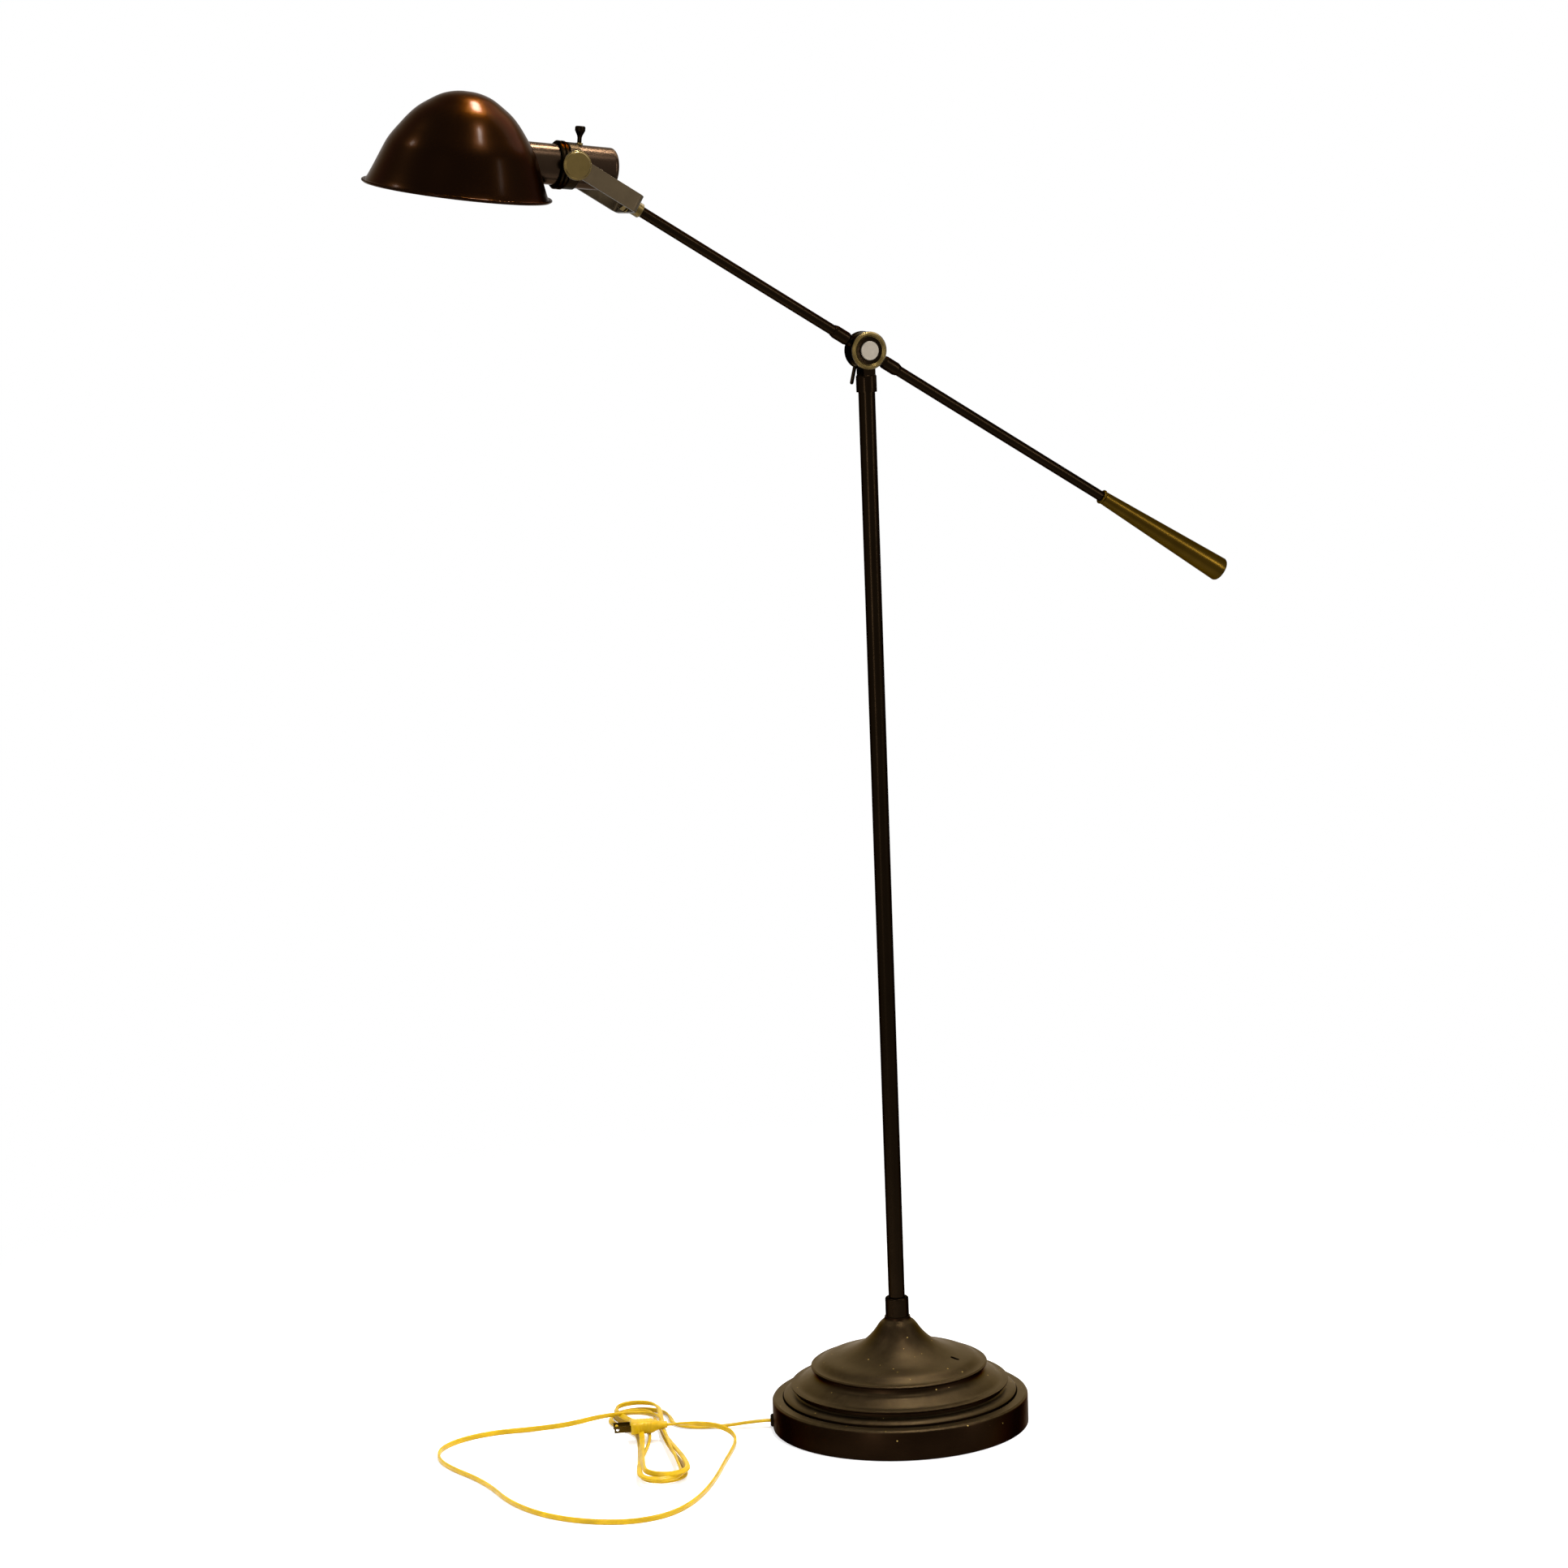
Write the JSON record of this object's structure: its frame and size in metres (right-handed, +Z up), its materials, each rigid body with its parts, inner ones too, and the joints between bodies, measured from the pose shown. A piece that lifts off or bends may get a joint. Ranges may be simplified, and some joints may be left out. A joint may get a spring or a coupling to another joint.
{
  "type": "adjustable floor reading lamp",
  "caption": "Floor reading lamp with a stepped round base, a slim pole, a tilting counterweighted arm and a swivelling domed metal shade.",
  "frame": {"origin": "centre of the underside of the base, on the pole's axis", "axes": "+Z up along the pole; the arm lies in the XZ plane with the shade towards -X and the counterweight towards +X"},
  "size_m": [0.8664, 0.323, 1.2991],
  "materials": {
    "felt": "felt",
    "iron": "rough",
    "bronze": "satin bronze",
    "dark_bronze": "gloss dark bronze",
    "shade_enamel": "gloss reddish brown",
    "antique_brass": "antique",
    "steel": "satin",
    "bolt_face": "pale satin",
    "fibre": "matte",
    "phenolic": "matte",
    "card": "matte",
    "thin_brass": "bright",
    "bulb": "frosted",
    "cord": "translucent gold",
    "plug": "gold",
    "rubber": "matte"
  },
  "bodies": {
    "stand": {"base_felt_pad": "felt", "base_weight": "iron", "base_drum": "bronze", "base_cover": "bronze", "base_nipple": "steel", "base_washer": "steel", "base_nut": "steel", "cord_grommet": "rubber", "cord_run": "cord", "cord_hank": "cord", "cord_loop": "cord", "plug_body": "plug", "plug_blades": "steel", "pole_collar": "dark_bronze", "pole": "dark_bronze", "pole_foot_plug": "steel"},
    "knuckle": {"knuckle_fork": "dark_bronze", "knuckle_washers": "fibre", "knuckle_bezel": "antique_brass", "pivot_bolt": "bolt_face", "lever_nut": "antique_brass"},
    "tension_lever": {"lever_hub": "dark_bronze", "lever_bar": "dark_bronze"},
    "arm": {"arm_hub": "dark_bronze", "front_arm_tube": "dark_bronze", "rear_arm_tube": "dark_bronze", "weight_joint_ring": "dark_bronze", "counterweight": "dark_bronze", "yoke_coupling": "antique_brass", "yoke": "bronze", "yoke_nipple": "steel", "yoke_nut_ring": "antique_brass", "yoke_lock_nut": "antique_brass"},
    "head": {"socket_cup": "dark_bronze", "socket_ring": "dark_bronze", "yoke_washers": "fibre", "pivot_screws": "antique_brass", "switch_body": "phenolic", "lampholder_liner": "card", "lampholder_shell": "thin_brass", "centre_contact": "thin_brass", "bulb_cap": "thin_brass", "bulb_glass": "bulb", "key_bush": "dark_bronze"},
    "key": {"switch_key": "dark_bronze"},
    "shade": {"neck_bead": "dark_bronze", "neck_tube": "dark_bronze", "shade": "shade_enamel"}
  },
  "joints": [
    {"name": "knuckle_swivel", "type": "hinge", "parent": "stand", "child": "knuckle", "pos_m": [0, 0, 1.012], "axis": [0, 0, 1], "range_deg": [-170, 170]},
    {"name": "tension_lever", "type": "hinge", "parent": "knuckle", "child": "tension_lever", "pos_m": [0, 0, 1.046], "axis": [0, 1, 0], "range_deg": [-75, 75]},
    {"name": "arm_tilt", "type": "hinge", "parent": "knuckle", "child": "arm", "pos_m": [0, 0, 1.046], "axis": [0, 1, 0], "range_deg": [-74, 13]},
    {"name": "head_tilt", "type": "hinge", "parent": "arm", "child": "head", "pos_m": [-0.29258, 0, 1.22882], "axis": [0, 1, 0], "range_deg": [-60, 60]},
    {"name": "shade_roll", "type": "hinge", "parent": "head", "child": "shade", "pos_m": [-0.29258, 0, 1.22882], "axis": [-0.9925, 0, 0.1219], "range_deg": [-90, 90]},
    {"name": "switch_key", "type": "hinge", "parent": "head", "child": "key", "pos_m": [-0.28215, 0, 1.22754], "axis": [0.1219, 0, 0.9925], "continuous": true}
  ]
}
